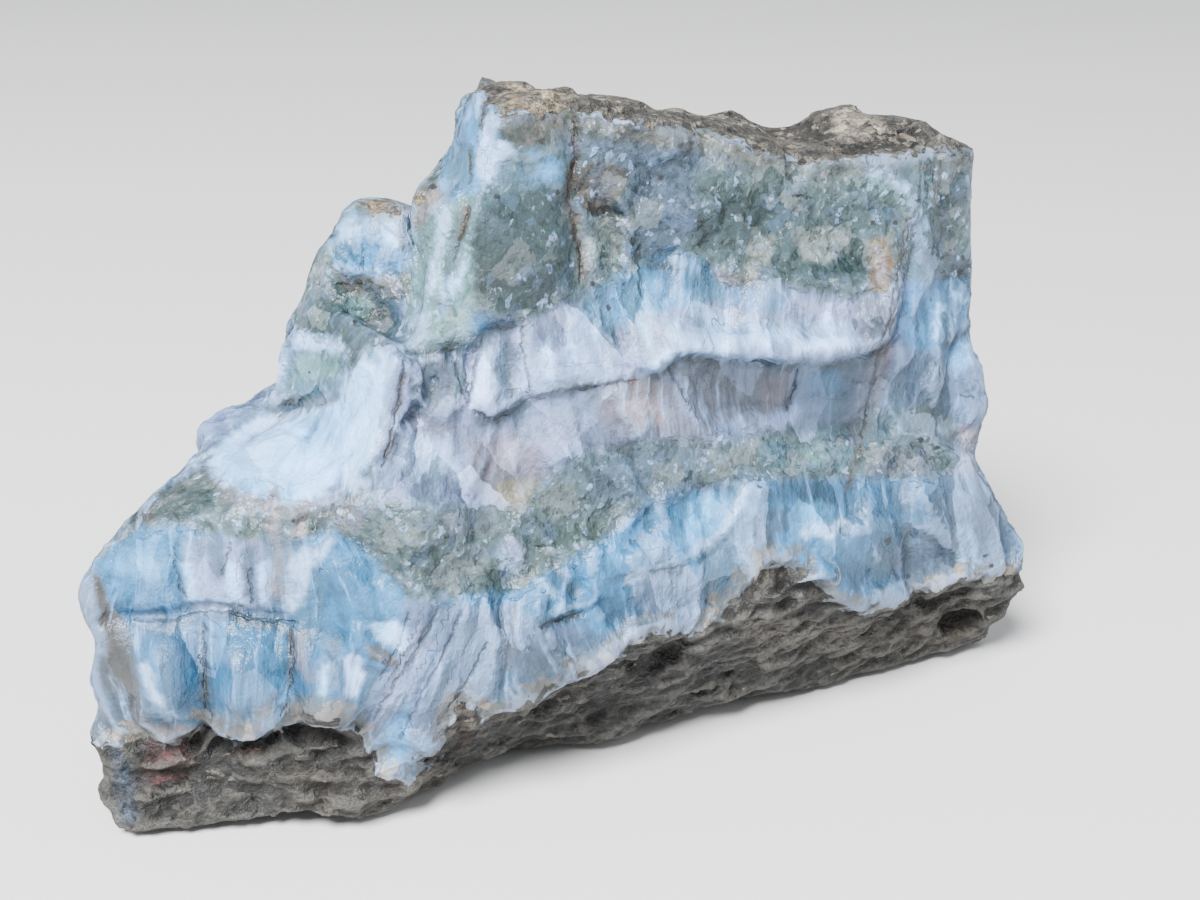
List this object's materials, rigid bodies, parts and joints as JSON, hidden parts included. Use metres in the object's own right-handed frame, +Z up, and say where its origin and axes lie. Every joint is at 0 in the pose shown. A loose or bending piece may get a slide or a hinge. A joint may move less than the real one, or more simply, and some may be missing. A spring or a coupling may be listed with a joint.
{
  "type": "rough larimar specimen",
  "caption": "Rough larimar hand specimen: blue and white fibrous pectolite vein, broken and unpolished, with dark volcanic matrix along its foot and cap; lies on its widest side.",
  "frame": {"origin": "centre of the bounding box in plan, at the level the stone rests on", "axes": "+X along the stone, from its near lower lobe to its far end as seen in the picture; -Y is the main break face; +Z up"},
  "size_m": [0.0864, 0.0402, 0.0588],
  "materials": {
    "larimar": "broken vein, silky and slightly glossy, white to sky blue, with dull dark brown and grey matrix"
  },
  "bodies": {
    "root": {"larimar": "larimar"}
  },
  "joints": []
}
